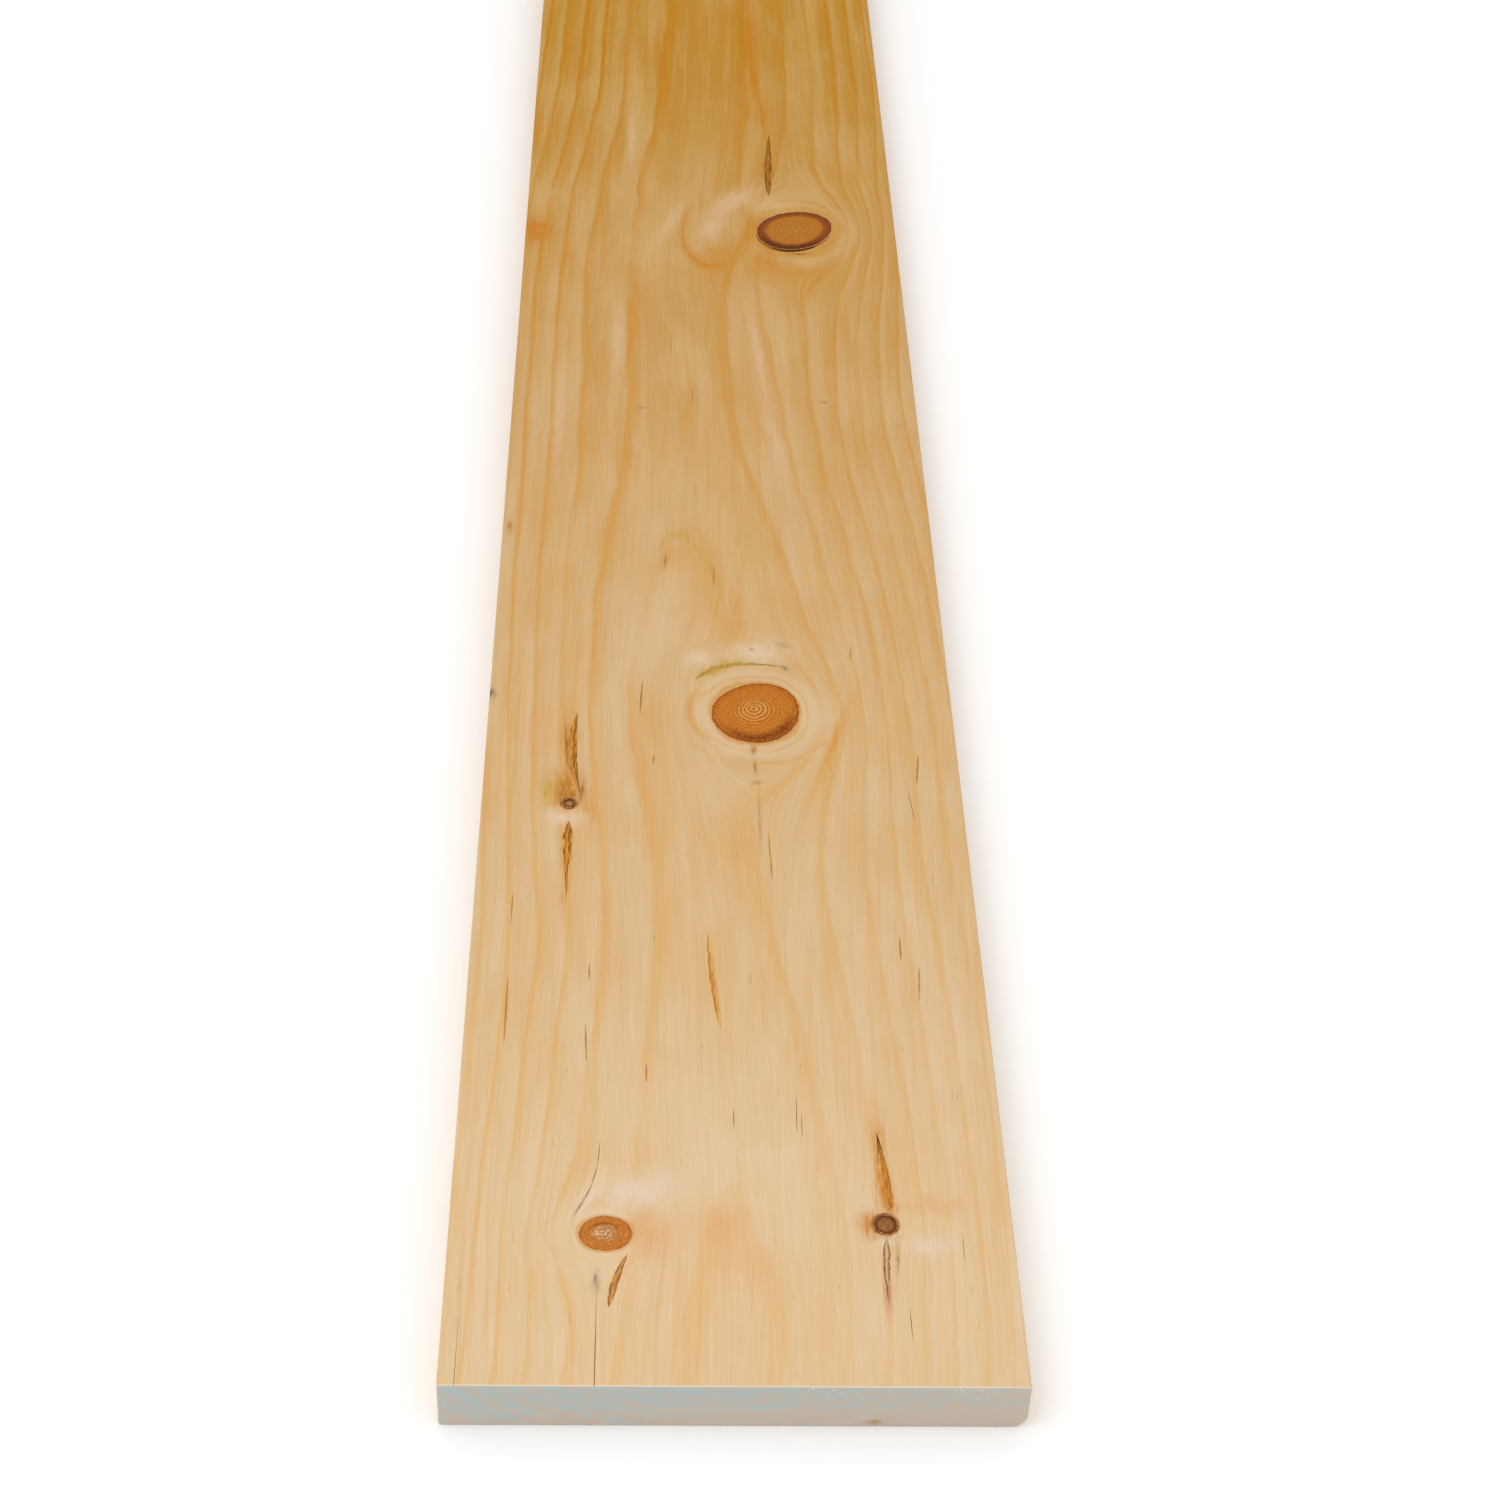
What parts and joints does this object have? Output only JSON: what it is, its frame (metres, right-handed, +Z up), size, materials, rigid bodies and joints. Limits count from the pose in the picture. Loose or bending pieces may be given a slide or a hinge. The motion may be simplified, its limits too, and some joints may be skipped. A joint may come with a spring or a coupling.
{
  "type": "softwood board",
  "caption": "Flat, square-edged knotty softwood board, planed on all faces, with branch knots, bark pockets and a pitch streak let into it as separate pieces.",
  "frame": {"origin": "middle of the board's bottom face", "axes": "+X across the width, +Y along the grain and away from the near end, +Z up through the thickness to the planed show face"},
  "size_m": [0.1842, 1.2192, 0.0191],
  "materials": {
    "sapwood": "planed bare softwood, satin, cream to golden with pale orange growth rings",
    "red_knot": "planed red-brown knot wood with fine rings, slightly glossy",
    "dead_knot": "dry grey-brown dead branch wood, matt",
    "bark": "crumbly dark brown bark, matt and rough",
    "pitch": "hardened amber-brown resin, glossy"
  },
  "bodies": {
    "root": {"board": "sapwood", "knot_near_left": "red_knot", "knot_near_right": "dead_knot", "knot_mid_left": "dead_knot", "knot_centre": "red_knot", "knot_far_right": "red_knot", "bark_collar_near_right": "bark", "bark_collar_mid_left": "bark", "bark_sliver_far_right": "bark", "pitch_streak_centre": "pitch", "bark_streak_near_left": "bark", "bark_streak_near_right_upper": "bark", "bark_streak_near_right_lower": "bark", "bark_streak_mid_left_upper": "bark", "bark_streak_mid_left_lower": "bark", "bark_streak_far_right": "bark", "bark_crease_centre": "bark"}
  },
  "joints": []
}
